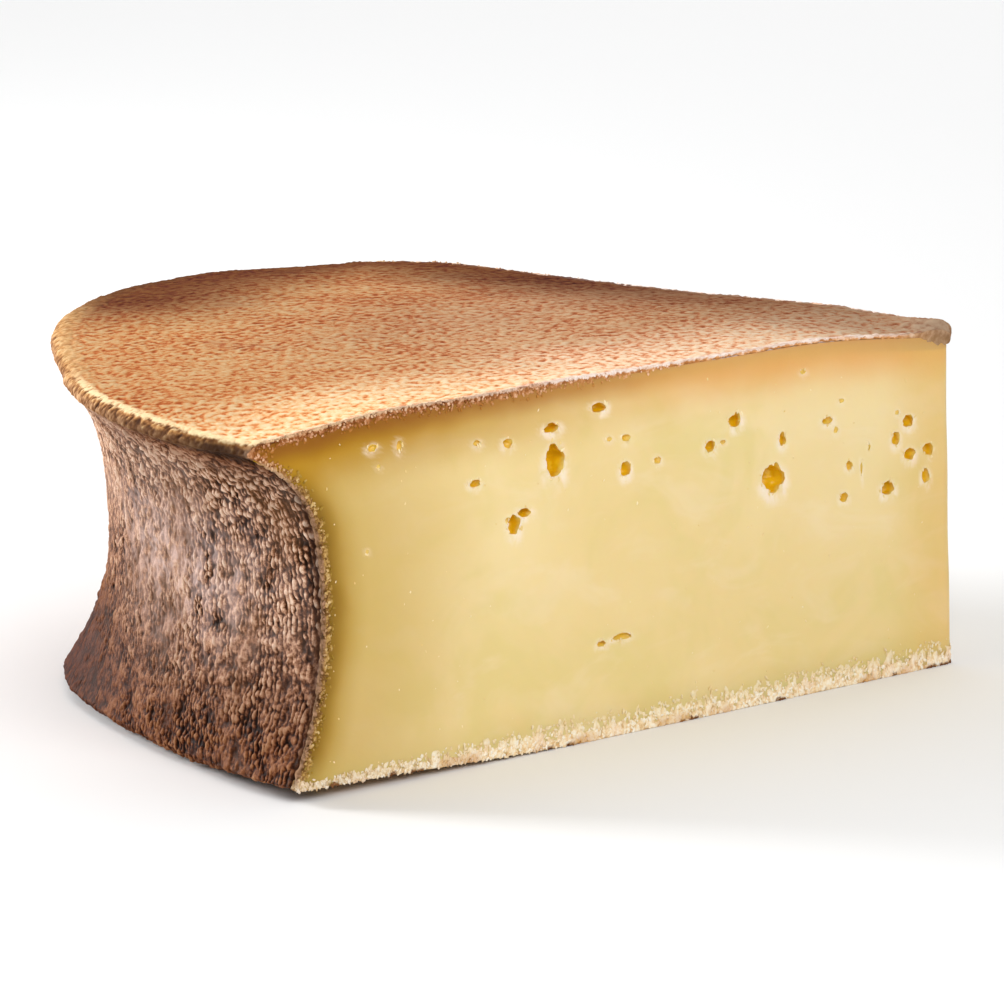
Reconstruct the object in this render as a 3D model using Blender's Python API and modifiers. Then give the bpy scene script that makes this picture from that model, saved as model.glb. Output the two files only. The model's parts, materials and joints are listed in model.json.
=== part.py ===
"""A quarter wheel of abondance cheese, cut along two radii.

The wheel is a turned solid with a hollow heel between two lips. A square block with one
rounded upright edge keeps a quarter of it, and lumpy cutters open the eyes in both cuts.
Lengths are in metres. +X runs from the heel to the tip, +Z is up, and the origin is under
the middle of the piece. The cut with the large eyes faces -Y, the other one faces +Y.
"""

import math
import random

import bmesh
import bpy
from mathutils import Matrix, Vector, noise

MM = 0.001

# The wheel
WHEEL_HEIGHT = 77.0 * MM
LIP_RADIUS = 199.3 * MM
LIP_HEIGHT = 73.5 * MM
LIP_ROUND = 4.0 * MM
WAIST_RADIUS = 184.6 * MM
WAIST_HEIGHT = 40.0 * MM
BASE_RADIUS = 192.7 * MM
BASE_LIP_HEIGHT = 3.2 * MM
BASE_ROUND = 8.0 * MM

# How the heel curves out to its two lips: the share of the overhang grows as this power
LIP_POWER = 3.2
BASE_POWER = 2.0

# The top is a little sunken at the wheel's centre and falls a little to the lip
CENTRE_DIP = 3.2 * MM
DIP_WIDTH = 26.0 * MM
EDGE_FALL = 0.7 * MM
EDGE_START = 165.0 * MM

# Both lips run in and out as they go round
WAVES = 6
LIP_WAVE = 4.5 * MM
LIP_WAVE_AT = math.radians(9.0)
BASE_WAVE = 4.0 * MM
BASE_WAVE_AT = math.radians(27.0)

# At the two outer corners of the piece the top sags and the underside lifts
CORNER_FROM = math.radians(30.0)
CORNER_TO = math.radians(45.0)
CORNER_SAG = 1.6 * MM
CORNER_LIFT = 2.4 * MM
LIFT_START = 105.0 * MM

# The whole top falls a little towards the +Y cut
BACK_FALL = 1.6 * MM
BACK_FROM = math.radians(20.0)

# Low bumps of the rind
HEEL_BUMP = 0.9 * MM
TOP_BUMP = 0.35 * MM
BUMP_SIZE = 24.0 * MM

# The cut
HALF_CUT = math.radians(45.0)
TIP_ROUND = 2.2 * MM
BLOCK_SIZE = 300.0 * MM
BLOCK_BELOW = 50.0 * MM

# How finely the turned solid is divided
TURN_STEPS = 210
HEEL_RINGS = 14
ROUND_RINGS = 4
TOP_RINGS = (9, 19, 32, 55, 95, 135, 165, 183)
BASE_RINGS = (150, 110)

# Eyes of the -Y cut in millimetres: distance from the tip, height, width, tallness
EYES = (
    (119.8, 60.7, 5.8, 6.0),
    (120.3, 67.5, 4.0, 2.0),
    (132.9, 65.9, 2.5, 2.0),
    (142.2, 58.8, 3.0, 1.7),
    (131.6, 48.9, 3.4, 4.0),
    (128.6, 50.9, 3.7, 2.0),
    (106.7, 70.1, 4.0, 2.1),
    (99.3, 56.2, 2.8, 3.3),
    (99.0, 62.7, 2.3, 1.6),
    (74.3, 57.8, 3.0, 2.8),
    (66.8, 62.4, 3.8, 3.0),
    (55.6, 48.5, 6.4, 5.7),
    (52.6, 56.5, 2.3, 2.8),
    (38.7, 58.9, 3.0, 1.6),
    (28.5, 46.5, 1.3, 7.0),
    (32.2, 48.2, 2.1, 2.1),
    (34.0, 41.5, 2.4, 2.1),
    (20.3, 41.7, 4.0, 3.2),
    (17.6, 52.3, 2.5, 3.0),
    (13.6, 55.6, 3.4, 2.6),
    (13.3, 48.3, 3.2, 2.8),
    (7.4, 48.6, 3.2, 2.8),
    (8.4, 42.9, 2.3, 3.0),
    (103.0, 20.4, 9.0, 1.4),
)

# Eyes of the +Y cut are drawn at random in the same band
BACK_EYES = 22
BACK_SEED = 11
BACK_ALONG = (14.0, 168.0)
BACK_HEIGHTS = (40.0, 69.0)
BACK_SIZES = (1.9, 6.0)
EYE_GAP = 1.6
EYE_SINK = 0.3
EYE_LUMPS = 0.09
LARGE_EYE = 5.0


def ease(value, low, high):
    """0 below low, 1 above high and a smooth step between."""
    share = min(max((value - low) / (high - low), 0.0), 1.0)
    return share * share * (3.0 - 2.0 * share)


def material(name, colour, roughness):
    made = bpy.data.materials.new(name)
    made.use_nodes = True
    made.diffuse_color = (*colour, 1.0)
    shader = made.node_tree.nodes["Principled BSDF"]
    shader.inputs["Base Color"].default_value = (*colour, 1.0)
    shader.inputs["Roughness"].default_value = roughness
    shader.inputs["Metallic"].default_value = 0.0
    return made


def top_height(radius):
    """Height of the upper face of the wheel at a distance from its axis."""
    dip = CENTRE_DIP * math.exp(-((radius / DIP_WIDTH) ** 2))
    fall = max(radius - EDGE_START, 0.0) / (LIP_RADIUS - LIP_ROUND - EDGE_START)
    return WHEEL_HEIGHT - dip - EDGE_FALL * fall * fall


def heel_share(height):
    """How far out the heel is at a height: 0 at the waist, 1 at either lip."""
    if height > WAIST_HEIGHT:
        return min((height - WAIST_HEIGHT) / (LIP_HEIGHT - WAIST_HEIGHT), 1.0) ** LIP_POWER
    return min((WAIST_HEIGHT - height) / (WAIST_HEIGHT - BASE_LIP_HEIGHT), 1.0) ** BASE_POWER


def wheel_profile():
    """Half section of the wheel as (radius, height), from the top of the axis to its foot."""
    points = [(0.0, top_height(0.0))]
    points += [(ring * MM, top_height(ring * MM)) for ring in TOP_RINGS]

    shoulder = LIP_RADIUS - LIP_ROUND
    drop = top_height(shoulder) - LIP_HEIGHT
    for step in range(ROUND_RINGS):
        turn = 0.5 * math.pi * step / ROUND_RINGS
        points.append((shoulder + LIP_ROUND * math.sin(turn), LIP_HEIGHT + drop * math.cos(turn)))

    for step in range(HEEL_RINGS + 1):
        height = LIP_HEIGHT + (BASE_LIP_HEIGHT - LIP_HEIGHT) * step / HEEL_RINGS
        lip = LIP_RADIUS if height > WAIST_HEIGHT else BASE_RADIUS
        points.append((WAIST_RADIUS + (lip - WAIST_RADIUS) * heel_share(height), height))

    foot = BASE_RADIUS - BASE_ROUND
    for step in range(1, ROUND_RINGS + 1):
        turn = 0.5 * math.pi * step / ROUND_RINGS
        points.append((foot + BASE_ROUND * math.cos(turn), BASE_LIP_HEIGHT * (1.0 - math.sin(turn))))
    points += [(ring * MM, 0.0) for ring in BASE_RINGS]
    points.append((0.0, 0.0))
    return points


def uneven(point):
    """Moves a point of the turned wheel to where the real, uneven wheel has it."""
    radius = math.hypot(point.x, point.y)
    if radius < MM:
        return point
    angle = math.atan2(-point.y, -point.x)
    height = point.z
    upper = height > WAIST_HEIGHT
    if upper:
        wave = LIP_WAVE * math.cos(WAVES * (angle - LIP_WAVE_AT)) * (radius / LIP_RADIUS) ** 8
    else:
        wave = BASE_WAVE * math.cos(WAVES * (angle - BASE_WAVE_AT)) * (radius / BASE_RADIUS) ** 8
    moved = radius - wave * heel_share(height)

    on_heel = ease(height, 0.0, 2.0 * BASE_LIP_HEIGHT) * ease(WHEEL_HEIGHT - height, 1.0 * MM, 5.0 * MM)
    moved += HEEL_BUMP * noise.noise(point / BUMP_SIZE) * on_heel

    corner = ease(abs(angle), CORNER_FROM, CORNER_TO)
    if upper:
        sag = CORNER_SAG * corner * ease(radius, 0.85 * WAIST_RADIUS, LIP_RADIUS)
        sag += BACK_FALL * ease(-angle, BACK_FROM, CORNER_TO) * ease(radius, 0.0, 0.5 * LIP_RADIUS)
        height -= sag * ease(height, LIP_HEIGHT - 12.0 * MM, LIP_HEIGHT)
        height += TOP_BUMP * noise.noise(point / BUMP_SIZE) * ease(height, LIP_HEIGHT, WHEEL_HEIGHT)
    elif height < BASE_LIP_HEIGHT:
        lift = CORNER_LIFT * corner * ease(radius, LIFT_START, BASE_RADIUS)
        height += lift * (1.0 - height / BASE_LIP_HEIGHT)

    return Vector((point.x * moved / radius, point.y * moved / radius, height))


def turned_wheel():
    """The whole wheel: its half section turned round the axis, then made uneven."""
    section = bpy.data.meshes.new("wheel_section")
    points = wheel_profile()
    edges = [(i, i + 1) for i in range(len(points) - 1)]
    section.from_pydata([(radius, 0.0, height) for radius, height in points], edges, [])
    turner = bpy.data.objects.new("wheel_section", section)
    bpy.context.scene.collection.objects.link(turner)

    screw = turner.modifiers.new("turn", "SCREW")
    screw.angle = 2.0 * math.pi
    screw.steps = TURN_STEPS
    screw.render_steps = TURN_STEPS
    screw.use_merge_vertices = True
    screw.merge_threshold = 0.00001
    screw.use_smooth_shade = True

    depsgraph = bpy.context.evaluated_depsgraph_get()
    mesh = bpy.data.meshes.new_from_object(turner.evaluated_get(depsgraph))
    bpy.data.objects.remove(turner)
    for vertex in mesh.vertices:
        vertex.co = uneven(vertex.co)
    return mesh


def quarter_block():
    """A square block with one upright edge, rounded, on the wheel's axis and its sides along the cuts."""
    bm = bmesh.new()
    bmesh.ops.create_cube(bm, size=BLOCK_SIZE)
    bmesh.ops.translate(bm, verts=bm.verts, vec=(-0.5 * BLOCK_SIZE, 0.5 * BLOCK_SIZE, 0.5 * BLOCK_SIZE - BLOCK_BELOW))
    tip_edge = [
        edge for edge in bm.edges
        if all(math.hypot(vertex.co.x, vertex.co.y) < MM for vertex in edge.verts)
    ]
    bmesh.ops.bevel(bm, geom=tip_edge, offset=TIP_ROUND, segments=5, profile=0.5, affect="EDGES")
    bmesh.ops.rotate(bm, verts=bm.verts, cent=(0.0, 0.0, 0.0), matrix=Matrix.Rotation(HALF_CUT, 3, "Z"))
    mesh = bpy.data.meshes.new("quarter_block")
    bm.to_mesh(mesh)
    bm.free()
    return mesh


def eye_mesh(name, side, eye, rng):
    """A lumpy ball sunk into a cut: side is 1 for the -Y cut and -1 for the +Y cut."""
    along, height, width, tall = (size * MM for size in eye)
    outward = Vector((-math.cos(HALF_CUT), -side * math.sin(HALF_CUT), 0.0))
    inward = Vector((-math.sin(HALF_CUT), side * math.cos(HALF_CUT), 0.0))
    right = inward.cross(Vector((0.0, 0.0, 1.0)))
    depth = 0.5 * min(max(width, tall), 2.0 * min(width, tall))
    centre = outward * along + inward * depth * EYE_SINK + Vector((0.0, 0.0, height))
    grow = 1.0 / math.sqrt(1.0 - EYE_SINK ** 2)

    bm = bmesh.new()
    bmesh.ops.create_icosphere(bm, subdivisions=3 if max(eye[2:]) > LARGE_EYE else 2, radius=1.0)
    for vertex in bm.verts:
        lump = 1.0 + EYE_LUMPS * rng.uniform(-1.0, 1.0)
        x, y, z = vertex.co * lump
        vertex.co = (
            centre
            + right * x * 0.5 * width * grow
            + inward * y * depth
            + Vector((0.0, 0.0, z * 0.5 * tall * grow))
        )
    mesh = bpy.data.meshes.new(name)
    bm.to_mesh(mesh)
    bm.free()
    return mesh


def drawn_eyes(rng):
    """Eyes for the cut that can't be seen: mostly small, a few large, none touching another."""
    eyes = []
    while len(eyes) < BACK_EYES:
        width = BACK_SIZES[0] + (BACK_SIZES[1] - BACK_SIZES[0]) * rng.random() ** 3
        tall = width * rng.uniform(0.6, 1.1)
        along = rng.uniform(*BACK_ALONG)
        height = rng.uniform(*BACK_HEIGHTS)
        clear = all(
            math.hypot(along - other[0], height - other[1]) > 0.5 * (width + other[2]) + EYE_GAP
            for other in eyes
        )
        if clear:
            eyes.append((along, height, width, tall))
    return eyes


def add(mesh, name, collection, parent, finish):
    made = bpy.data.objects.new(name, mesh)
    mesh.materials.clear()
    mesh.materials.append(finish)
    made.parent = parent
    collection.objects.link(made)
    return made


def cutter(mesh, name, collection, parent, finish):
    made = add(mesh, name, collection, parent, finish)
    made.hide_render = True
    made.display_type = "WIRE"
    return made


def boolean(target, name, operation):
    made = target.modifiers.new(name, "BOOLEAN")
    made.operation = operation
    made.solver = "EXACT"
    made.material_mode = "TRANSFER"
    return made


def main():
    for old in list(bpy.data.objects):
        bpy.data.objects.remove(old)

    parts = bpy.data.collections.new("abondance_cheese")
    cutters = bpy.data.collections.new("cutters")
    eyes = bpy.data.collections.new("eye_cutters")
    for collection in (parts, cutters, eyes):
        bpy.context.scene.collection.children.link(collection)

    rind = material("washed_rind", (0.50, 0.24, 0.12), 0.75)
    paste = material("cut_paste", (0.80, 0.62, 0.30), 0.45)

    middle = bpy.data.objects.new("middle", None)
    parts.objects.link(middle)
    cheese = add(turned_wheel(), "cheese_quarter", parts, middle, rind)
    block = cutter(quarter_block(), "quarter_block", cutters, middle, paste)
    boolean(cheese, "keep_a_quarter", "INTERSECT").object = block

    rng = random.Random(BACK_SEED)
    for side, rows in ((1, EYES), (-1, drawn_eyes(rng))):
        for number, eye in enumerate(rows):
            name = f"eye_{'front' if side > 0 else 'back'}_{number:02d}"
            cutter(eye_mesh(name, side, eye, rng), name, eyes, middle, paste)
    holes = boolean(cheese, "open_the_eyes", "DIFFERENCE")
    holes.operand_type = "COLLECTION"
    holes.collection = eyes

    # The piece stands with the origin under the middle of its box
    depsgraph = bpy.context.evaluated_depsgraph_get()
    solid = cheese.evaluated_get(depsgraph).to_mesh()
    for axis in (0, 1):
        reach = [vertex.co[axis] for vertex in solid.vertices]
        middle.location[axis] = -0.5 * (min(reach) + max(reach))
    bpy.context.view_layer.update()


main()
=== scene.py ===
"""Looks of a quarter wheel of abondance cheese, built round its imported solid.

The solid is replaced by the paste with its eyes, a washed rind on the top, a cloth-marked
rind round the heel, a rind under the base, and the crumbly edges of the rind along both
cuts. The fine surfaces follow the solid's own shape, so its driving sizes are repeated here.
Lengths are in millimetres, and the stage's are in metres. Points are worked out about the
wheel's axis, which runs up through the tip, and are scaled and moved to the frame at the end.
An angle is 0 in the middle of the heel and grows towards the -Y cut, which is side 1; the
+Y cut is side -1.
"""

import json
import math
import random
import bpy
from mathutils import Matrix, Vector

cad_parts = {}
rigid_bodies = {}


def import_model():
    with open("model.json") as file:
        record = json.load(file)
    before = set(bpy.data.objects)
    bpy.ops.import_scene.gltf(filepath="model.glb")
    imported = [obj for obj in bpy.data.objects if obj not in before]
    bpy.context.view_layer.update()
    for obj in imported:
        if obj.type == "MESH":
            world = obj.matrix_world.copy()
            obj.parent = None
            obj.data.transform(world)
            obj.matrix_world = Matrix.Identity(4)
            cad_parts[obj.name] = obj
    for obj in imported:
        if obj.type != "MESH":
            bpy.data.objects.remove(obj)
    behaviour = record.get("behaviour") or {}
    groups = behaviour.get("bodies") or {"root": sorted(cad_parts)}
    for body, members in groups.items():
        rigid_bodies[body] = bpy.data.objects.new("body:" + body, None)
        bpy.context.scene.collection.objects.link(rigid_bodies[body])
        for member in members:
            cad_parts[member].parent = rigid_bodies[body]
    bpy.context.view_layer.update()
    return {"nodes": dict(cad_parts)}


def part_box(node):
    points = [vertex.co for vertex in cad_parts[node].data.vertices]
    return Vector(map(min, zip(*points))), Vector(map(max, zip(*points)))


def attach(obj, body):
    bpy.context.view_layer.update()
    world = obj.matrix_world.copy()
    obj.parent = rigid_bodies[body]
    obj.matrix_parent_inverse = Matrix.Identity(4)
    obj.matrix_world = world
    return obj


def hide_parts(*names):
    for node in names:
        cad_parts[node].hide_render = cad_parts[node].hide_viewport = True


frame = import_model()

from types import SimpleNamespace

import bmesh
import bpy
import numpy as np
from mathutils import Matrix, Vector, noise

MM = 0.001

# The solid's shape
WHEEL_HEIGHT = 77.0
LIP_RADIUS = 199.3
LIP_HEIGHT = 73.5
LIP_ROUND = 4.0
WAIST_RADIUS = 184.6
WAIST_HEIGHT = 40.0
BASE_RADIUS = 192.7
BASE_LIP_HEIGHT = 3.2
BASE_ROUND = 8.0
LIP_POWER = 3.2
BASE_POWER = 2.0
CENTRE_DIP = 3.2
DIP_WIDTH = 26.0
EDGE_FALL = 0.7
EDGE_START = 165.0
WAVES = 6
LIP_WAVE = 4.5
LIP_WAVE_AT = math.radians(9.0)
BASE_WAVE = 4.0
BASE_WAVE_AT = math.radians(27.0)
CORNER_FROM = math.radians(30.0)
HALF_CUT = math.radians(45.0)
CORNER_SAG = 1.6
CORNER_LIFT = 2.4
LIFT_START = 105.0
BACK_FALL = 1.6
BACK_FROM = math.radians(20.0)
HEEL_BUMP = 0.9
TOP_BUMP = 0.35
BUMP_SIZE = 24.0
TIP_ROUND = 2.2
TIP_ARC = TIP_ROUND * HALF_CUT

# Eyes of the -Y cut: distance from the tip, height, width, tallness
EYES = (
    (119.6, 60.7, 5.2, 6.6), (120.3, 67.5, 4.0, 2.0), (132.9, 65.9, 2.5, 2.0), (142.2, 58.8, 3.0, 1.7),
    (131.6, 48.9, 3.4, 4.0), (128.6, 50.9, 3.7, 2.0), (106.7, 70.1, 4.0, 2.1), (99.3, 56.2, 2.8, 3.3),
    (99.0, 62.7, 2.3, 1.6), (74.3, 57.8, 3.0, 2.8), (66.8, 62.4, 3.8, 3.0), (55.6, 48.5, 6.4, 5.7),
    (52.6, 56.5, 2.3, 2.8), (38.7, 58.9, 3.0, 1.6), (28.5, 47.0, 0.7, 3.0), (32.2, 48.2, 2.1, 2.1),
    (34.0, 41.5, 2.4, 2.1), (20.3, 41.7, 4.0, 3.2), (17.6, 52.3, 2.5, 3.0), (13.6, 55.6, 3.4, 2.6),
    (13.3, 48.3, 3.2, 2.8), (7.4, 48.6, 3.2, 2.8), (8.4, 42.9, 2.3, 3.0), (101.4, 20.9, 5.4, 1.3),
)

# Eyes of the same cut that are too small for the solid
SMALL_EYES = (
    (170.2, 69.7, 2.5, 1.5), (162.8, 69.3, 1.5, 2.2), (168.6, 65.7, 1.0, 0.9), (141.4, 67.1, 2.0, 1.3),
    (133.3, 49.9, 1.6, 1.2), (103.9, 63.1, 1.5, 1.0), (172.2, 48.8, 0.9, 0.9), (107.3, 20.3, 2.6, 1.3),
    (90.0, 56.9, 2.0, 1.5), (70.5, 58.2, 1.6, 1.0), (46.1, 70.3, 1.6, 1.0), (34.4, 62.6, 1.6, 1.0),
    (36.2, 56.5, 1.3, 1.5), (17.1, 57.9, 1.2, 1.0), (26.0, 51.5, 0.9, 1.6),
)

FRONT_EYES = EYES + SMALL_EYES

# Eyes of the +Y cut are drawn as the solid draws them
BACK_EYES = 22
BACK_SEED = 11
BACK_ALONG = (14.0, 168.0)
BACK_HEIGHTS = (40.0, 69.0)
BACK_SIZES = (1.9, 6.0)
EYE_GAP = 1.6
EYE_SINK = 0.3
SMALL_BACK_EYES = 14

# Thickness of the rind pieces and how far the paste lies under the solid's surface
RIND = 1.3
PASTE_INSET = 0.9

# How far the rind pieces end behind the cuts, where the crumbly edges cover them
END_GAP = 0.4

# Print of the cloth on the heel: its steps round the wheel and up it, its depth, lean and unevenness
CLOTH_ROUND = 1.45
CLOTH_UP = 2.1
CLOTH_DEPTH = 0.52
CLOTH_LEAN = 0.32
CLOTH_LEAN_END = 20.0
CLOTH_TABLE = 97
CLOTH_SEED = 5

# Hollow under the lip beside the -Y cut
HOLLOW_AT = math.radians(42.3)
HOLLOW_WIDTH = math.radians(2.6)
HOLLOW_DEPTH = 0.6

# Painted sheen on the heel: a paler patch that stands in for a soft highlight
SHEEN_AT = 0.47
SHEEN_WIDE = 0.20
SHEEN_DOWN = 38.0
SHEEN_TALL = 16.0


def find_axis():
    """The wheel's axis in the frame. The rounded tip ends a little short of it."""
    low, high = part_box("cheese_quarter")
    tip = [v.co.y for v in frame["nodes"]["cheese_quarter"].data.vertices if v.co.x > high.x - 0.01 * MM]
    return np.array((high.x + TIP_ROUND * (math.sqrt(2.0) - 1.0) * MM, 0.5 * (min(tip) + max(tip)), 0.0))


AXIS = find_axis()


def ease(value, low, high):
    """0 below low, 1 above high and a smooth step between."""
    share = np.clip((value - low) / (high - low), 0.0, 1.0)
    return share * share * (3.0 - 2.0 * share)


def bell(value, width):
    """1 where the value is 0, falling smoothly to nothing beyond about twice the width."""
    return np.exp(-((value / width) ** 2))


def run(points):
    """Length along a line from its start to each of its points."""
    gaps = np.linalg.norm(np.diff(points, axis=0), axis=1)
    return np.concatenate(([0.0], np.cumsum(gaps)))


def bumps(points, size, seed=0):
    """Smooth noise from about -1 to 1 at each point, with lumps of about that size."""
    shift = 37.0 * seed
    return np.array([noise.noise((x + shift, y, z)) for x, y, z in (points / size).tolist()])


def top_height(radius):
    dip = CENTRE_DIP * bell(radius, DIP_WIDTH)
    fall = np.maximum(radius - EDGE_START, 0.0) / (LIP_RADIUS - LIP_ROUND - EDGE_START)
    return WHEEL_HEIGHT - dip - EDGE_FALL * fall * fall


def heel_share(height):
    """How far out the heel is at a height: 0 at the waist, 1 at either lip."""
    above = np.clip((height - WAIST_HEIGHT) / (LIP_HEIGHT - WAIST_HEIGHT), 0.0, 1.0) ** LIP_POWER
    below = np.clip((WAIST_HEIGHT - height) / (WAIST_HEIGHT - BASE_LIP_HEIGHT), 0.0, 1.0) ** BASE_POWER
    return above + below


def heel_radius(height):
    lip = np.where(height > WAIST_HEIGHT, LIP_RADIUS, BASE_RADIUS)
    return WAIST_RADIUS + (lip - WAIST_RADIUS) * heel_share(height)


def around(radius, angle, height):
    """Points about the axis."""
    return np.stack((-radius * np.cos(angle), -radius * np.sin(angle), height), axis=-1)


def polar(points):
    """Radius and angle of points about the axis."""
    return np.hypot(points[:, 0], points[:, 1]), np.arctan2(-points[:, 1], -points[:, 0])


def directions(side):
    """Directions of a cut: away from the axis along it, and out of it."""
    outward = np.array((-math.cos(HALF_CUT), -side * math.sin(HALF_CUT), 0.0))
    return outward, np.array((math.sin(HALF_CUT), -side * math.cos(HALF_CUT), 0.0))


def uneven(points):
    """Moves points of the even, turned wheel to where the solid has them."""
    radius, angle = polar(points)
    radius = np.maximum(radius, 0.1)
    height = points[:, 2]
    upper = height > WAIST_HEIGHT
    lip_wave = LIP_WAVE * np.cos(WAVES * (angle - LIP_WAVE_AT)) * (radius / LIP_RADIUS) ** 8
    base_wave = BASE_WAVE * np.cos(WAVES * (angle - BASE_WAVE_AT)) * (radius / BASE_RADIUS) ** 8
    low_bumps = bumps(points, BUMP_SIZE)
    on_heel = ease(height, 0.0, 2.0 * BASE_LIP_HEIGHT) * ease(WHEEL_HEIGHT - height, 1.0, 5.0)
    moved = radius - np.where(upper, lip_wave, base_wave) * heel_share(height)
    moved += HEEL_BUMP * low_bumps * on_heel

    corner = ease(np.abs(angle), CORNER_FROM, HALF_CUT)
    sag = CORNER_SAG * corner * ease(radius, 0.85 * WAIST_RADIUS, LIP_RADIUS)
    sag += BACK_FALL * ease(-angle, BACK_FROM, HALF_CUT) * ease(radius, 0.0, 0.5 * LIP_RADIUS)
    sunk = height - sag * ease(height, LIP_HEIGHT - 12.0, LIP_HEIGHT)
    sunk += TOP_BUMP * low_bumps * ease(sunk, LIP_HEIGHT, WHEEL_HEIGHT)
    lift = CORNER_LIFT * corner * ease(radius, LIFT_START, BASE_RADIUS)
    lifted = height + lift * np.clip(1.0 - height / BASE_LIP_HEIGHT, 0.0, 1.0)
    scale = moved / radius
    return np.stack((points[:, 0] * scale, points[:, 1] * scale, np.where(upper, sunk, lifted)), axis=-1)


def cut_line(along):
    """Radius, angle and turn of the outward normal at a distance along a cut from the tip's middle."""
    turn = np.minimum(along, TIP_ARC) / TIP_ROUND
    beyond = np.maximum(along - TIP_ARC, 0.0)
    inward = TIP_ROUND * (math.sqrt(2.0) - np.cos(turn)) + beyond * math.cos(HALF_CUT)
    aside = TIP_ROUND * np.sin(turn) + beyond * math.sin(HALF_CUT)
    return np.hypot(inward, aside), np.arctan2(aside, inward), turn


def cut_at(radius):
    """Distance along a cut from the tip's middle for a radius beyond the tip's rounding."""
    return radius - TIP_ROUND + TIP_ARC


def arc(centre, reach, first, last, steps):
    """Points of a part of an ellipse in the section; angles are in degrees from outward."""
    turn = np.radians(np.linspace(first, last, steps))
    return np.stack((centre[0] + reach[0] * np.cos(turn), centre[1] + reach[1] * np.sin(turn)), axis=-1)


def rim_line():
    """Section of the lip, from the top to its widest place."""
    shoulder = LIP_RADIUS - LIP_ROUND
    drop = float(top_height(shoulder)) - LIP_HEIGHT
    return arc((shoulder, LIP_HEIGHT), (LIP_ROUND, drop), 90.0, 0.0, 12)


def heel_line(first):
    """Section of the heel from a height down to the foot, and a little way in under it."""
    heights = np.linspace(first, BASE_LIP_HEIGHT, 90)
    down = np.stack((heel_radius(heights), heights), axis=-1)
    foot = arc((BASE_RADIUS - BASE_ROUND, BASE_LIP_HEIGHT), (BASE_ROUND, BASE_LIP_HEIGHT), 0.0, -90.0, 24)
    return np.concatenate((down, foot[1:]))


def even_steps(line, count):
    """The same section line with evenly spaced points, count steps in all."""
    length = run(line[:, :2])
    at = np.linspace(0.0, length[-1], count + 1)
    return np.stack([np.interp(at, length, line[:, k]) for k in range(line.shape[1])], axis=-1)


def gap_to_cut(radius, angle):
    """Distance from the nearer cut."""
    return radius * np.sin(np.maximum(HALF_CUT - np.abs(angle), 0.0))


def sweep(line, low, high, counts):
    """Turns a section line about the axis: a row of points for each of its points, with its own steps."""
    columns = [np.linspace(a, b, count + 1) for a, b, count in zip(low, high, counts)]
    sizes = [len(column) for column in columns]
    ends = np.cumsum([0] + sizes)
    which = np.repeat(np.arange(len(line)), sizes)
    along = np.gradient(line, axis=0)
    along /= np.linalg.norm(along, axis=1)[:, None]
    angle = np.concatenate(columns)
    outward, up = -along[which, 1], along[which, 0]
    return SimpleNamespace(
        points=uneven(around(line[which, 0], angle, line[which, 1])),
        normals=np.stack((-outward * np.cos(angle), -outward * np.sin(angle), up), axis=-1),
        angle=angle,
        radius=line[which, 0],
        height=line[which, 1],
        path=run(line)[which],
        cut_gap=gap_to_cut(line[which, 0], angle),
        rows=[list(range(ends[k], ends[k + 1])) for k in range(len(line))],
    )


def stitch(first, second):
    """Faces between two rows, where one has a whole number of times the steps of the other."""
    steps = min(len(first), len(second)) - 1
    a, b = (len(first) - 1) // steps, (len(second) - 1) // steps
    return [
        first[i * a : (i + 1) * a + 1] + second[i * b : (i + 1) * b + 1][::-1]
        for i in range(steps)
    ]


def sheet_faces(rows):
    faces = []
    for first, second in zip(rows, rows[1:]):
        faces += stitch(first, second)
    return faces


def borders(rows):
    return rows[0], rows[-1], [row[0] for row in rows], [row[-1] for row in rows]


def closed_faces(outer, inner, shift):
    """Faces of an outer sheet, an inner one and the four walls between them."""
    back = [[i + shift for i in row] for row in inner]
    faces = sheet_faces(outer) + sheet_faces(back)
    for edge, hidden in zip(borders(outer), borders(back)):
        faces += stitch(edge, hidden)
    return faces


def add_values(mesh, values):
    """Gives a mesh the values that its material reads. Points beyond the last value have none."""
    for label, numbers in values.items():
        full = np.zeros(len(mesh.vertices), np.float32)
        full[: len(numbers)] = numbers
        mesh.attributes.new(label, "FLOAT", "POINT").data.foreach_set("value", full)


def make_mesh(name, points, faces, values):
    """A closed mesh in the frame, its faces pointing out."""
    mesh = bpy.data.meshes.new(name)
    mesh.from_pydata((points * MM + AXIS).tolist(), [], faces)
    add_values(mesh, values)
    bm = bmesh.new()
    bm.from_mesh(mesh)
    bmesh.ops.remove_doubles(bm, verts=bm.verts, dist=0.001 * MM)
    bmesh.ops.recalc_face_normals(bm, faces=bm.faces)
    bm.to_mesh(mesh)
    bm.free()
    return mesh


def add_piece(mesh, *finishes):
    """Puts a finished mesh in the scene as a piece of the cheese."""
    piece = bpy.data.objects.new(mesh.name, mesh)
    bpy.context.scene.collection.objects.link(piece)
    for finish in finishes:
        mesh.materials.append(finish)
    mesh.shade_smooth()
    mesh.set_sharp_from_angle(angle=math.radians(60.0))
    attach(piece, "root")
    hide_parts("cheese_quarter")


def hollow_at(angle):
    """How far into the hollow under the lip an angle is: 1 in its middle."""
    return bell(angle - HOLLOW_AT, HOLLOW_WIDTH)


def tip_rise(points):
    """How far the rind of the top swells upwards at the tip, more so towards the +Y cut."""
    radius, angle = polar(points)
    rise = 1.1 * bell(radius, 9.0) - 1.7 * bell(radius, 2.6)
    return rise + 1.5 * ease(-angle, -0.6, 0.8) * bell(radius, 30.0)


def tip_cap(points):
    """Lets the rind of the top hang a little over the upright edge of the tip."""
    upper = ease(points[:, 2], WHEEL_HEIGHT - CENTRE_DIP - 4.2, WHEEL_HEIGHT - CENTRE_DIP - 1.6)
    moved = points.copy()
    moved[:, 0] += 1.1 * bell(polar(points)[0], 5.0) * upper
    moved[:, 2] += tip_rise(points) * upper
    return moved


# Top rind

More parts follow.
